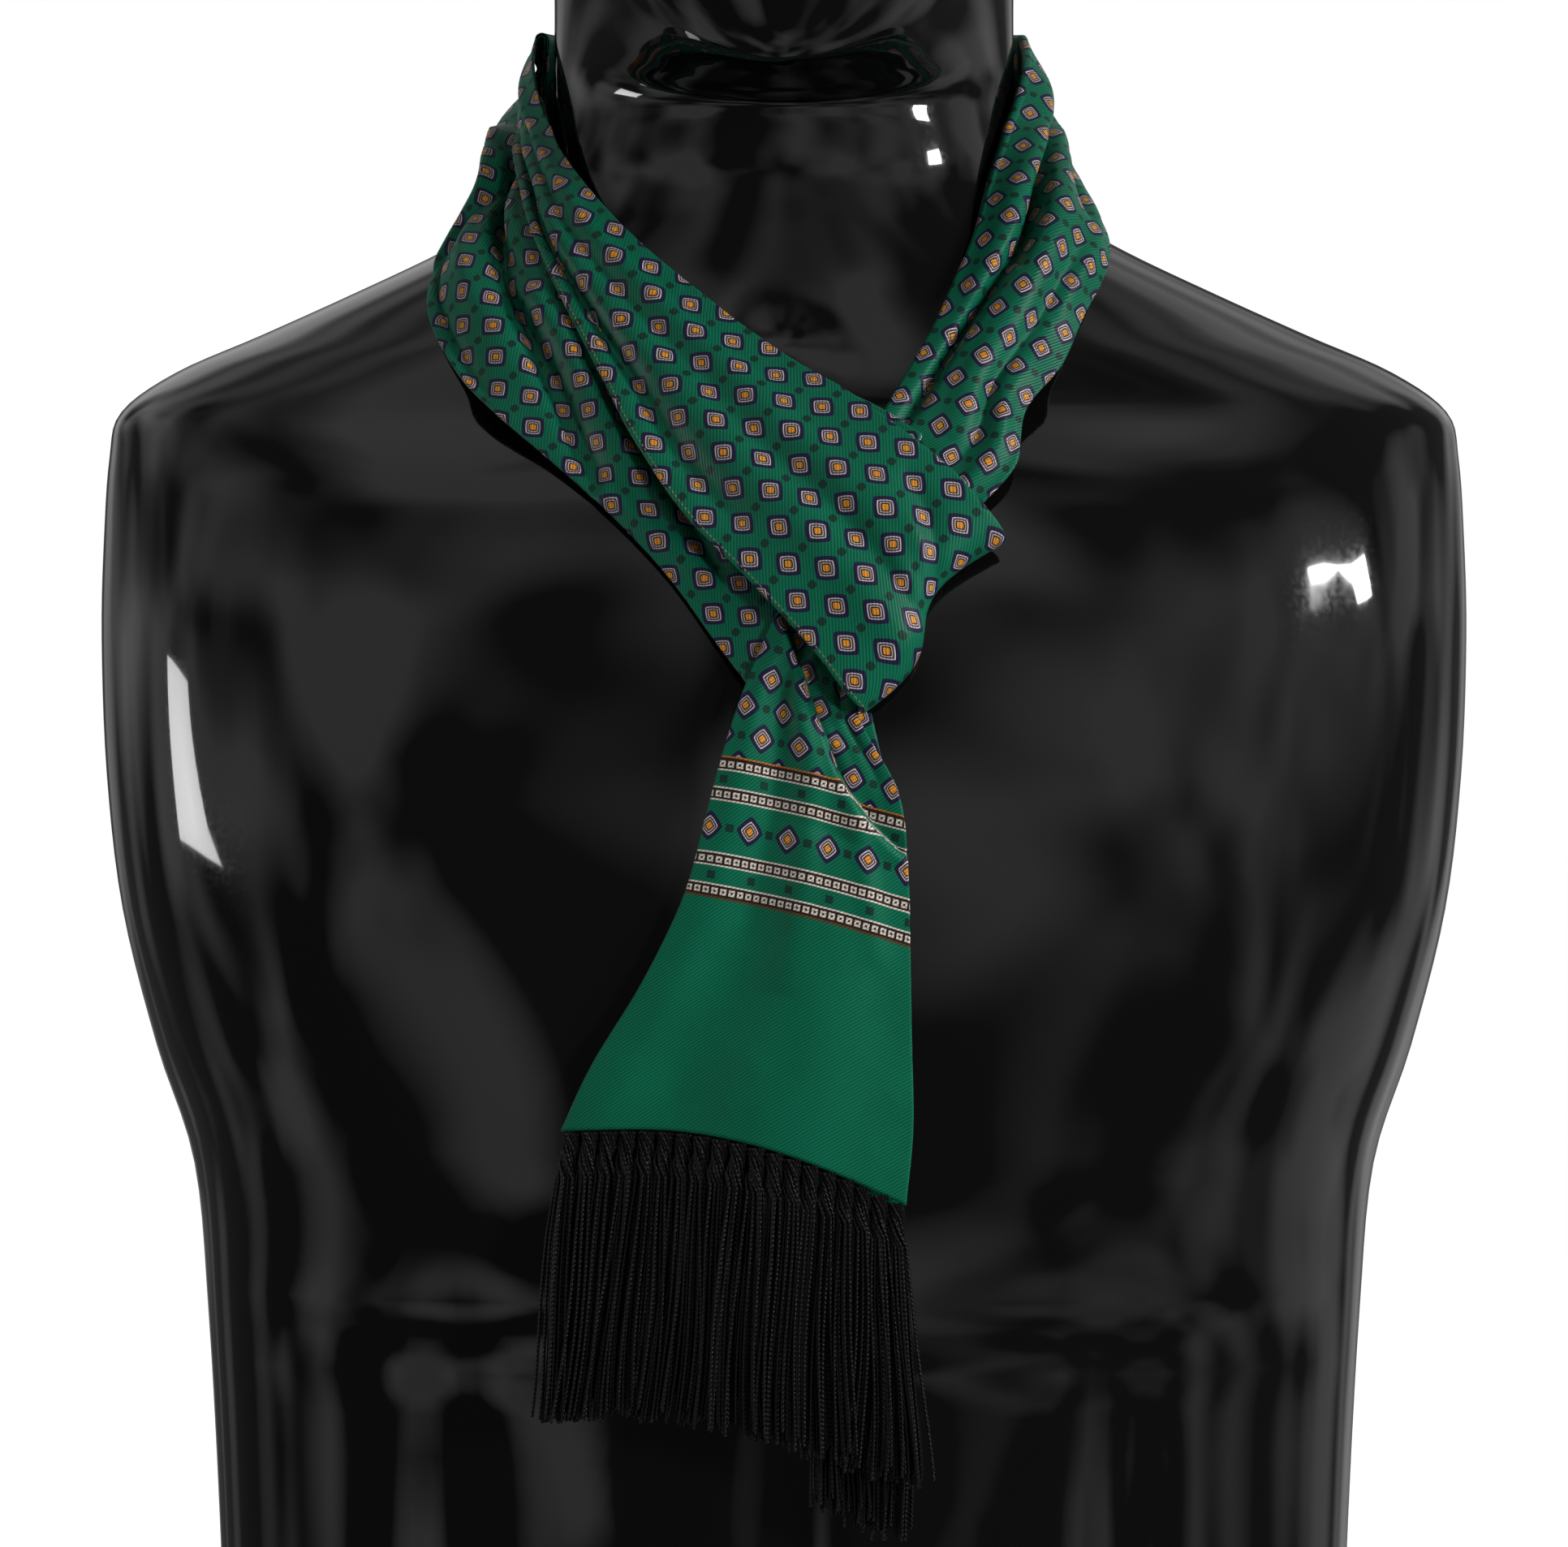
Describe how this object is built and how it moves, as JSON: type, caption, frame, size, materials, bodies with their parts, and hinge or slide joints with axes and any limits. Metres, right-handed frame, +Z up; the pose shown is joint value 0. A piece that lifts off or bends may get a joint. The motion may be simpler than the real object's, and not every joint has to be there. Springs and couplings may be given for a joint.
{
  "type": "tassel scarf on a torso form",
  "caption": "Printed silk scarf with fringed ends, doubled round the neck and crossed at the throat, resting on a smooth limbless torso form.",
  "frame": {"origin": "middle of the form's flat base, on the surface it stands on", "axes": "+Z up, the chest faces -Y, +X to the viewer's right"},
  "size_m": [0.406, 0.2402, 0.706],
  "materials": {
    "form_lacquer": "fibreglass shell, sprayed and polished to a high black gloss",
    "silk_twill": "green printed silk twill with a soft sheen, small repeat of rounded squares and a striped border",
    "silk_cord": "black plied silk thread, combed"
  },
  "bodies": {
    "root": {"torso_form": "form_lacquer", "neck_stretch": "silk_twill", "left_over_stretch": "silk_twill", "left_under_stretch": "silk_twill", "right_stretch": "silk_twill", "front_tail": "silk_twill", "back_tail": "silk_twill", "front_fringe": "silk_cord", "back_fringe": "silk_cord"}
  },
  "joints": []
}
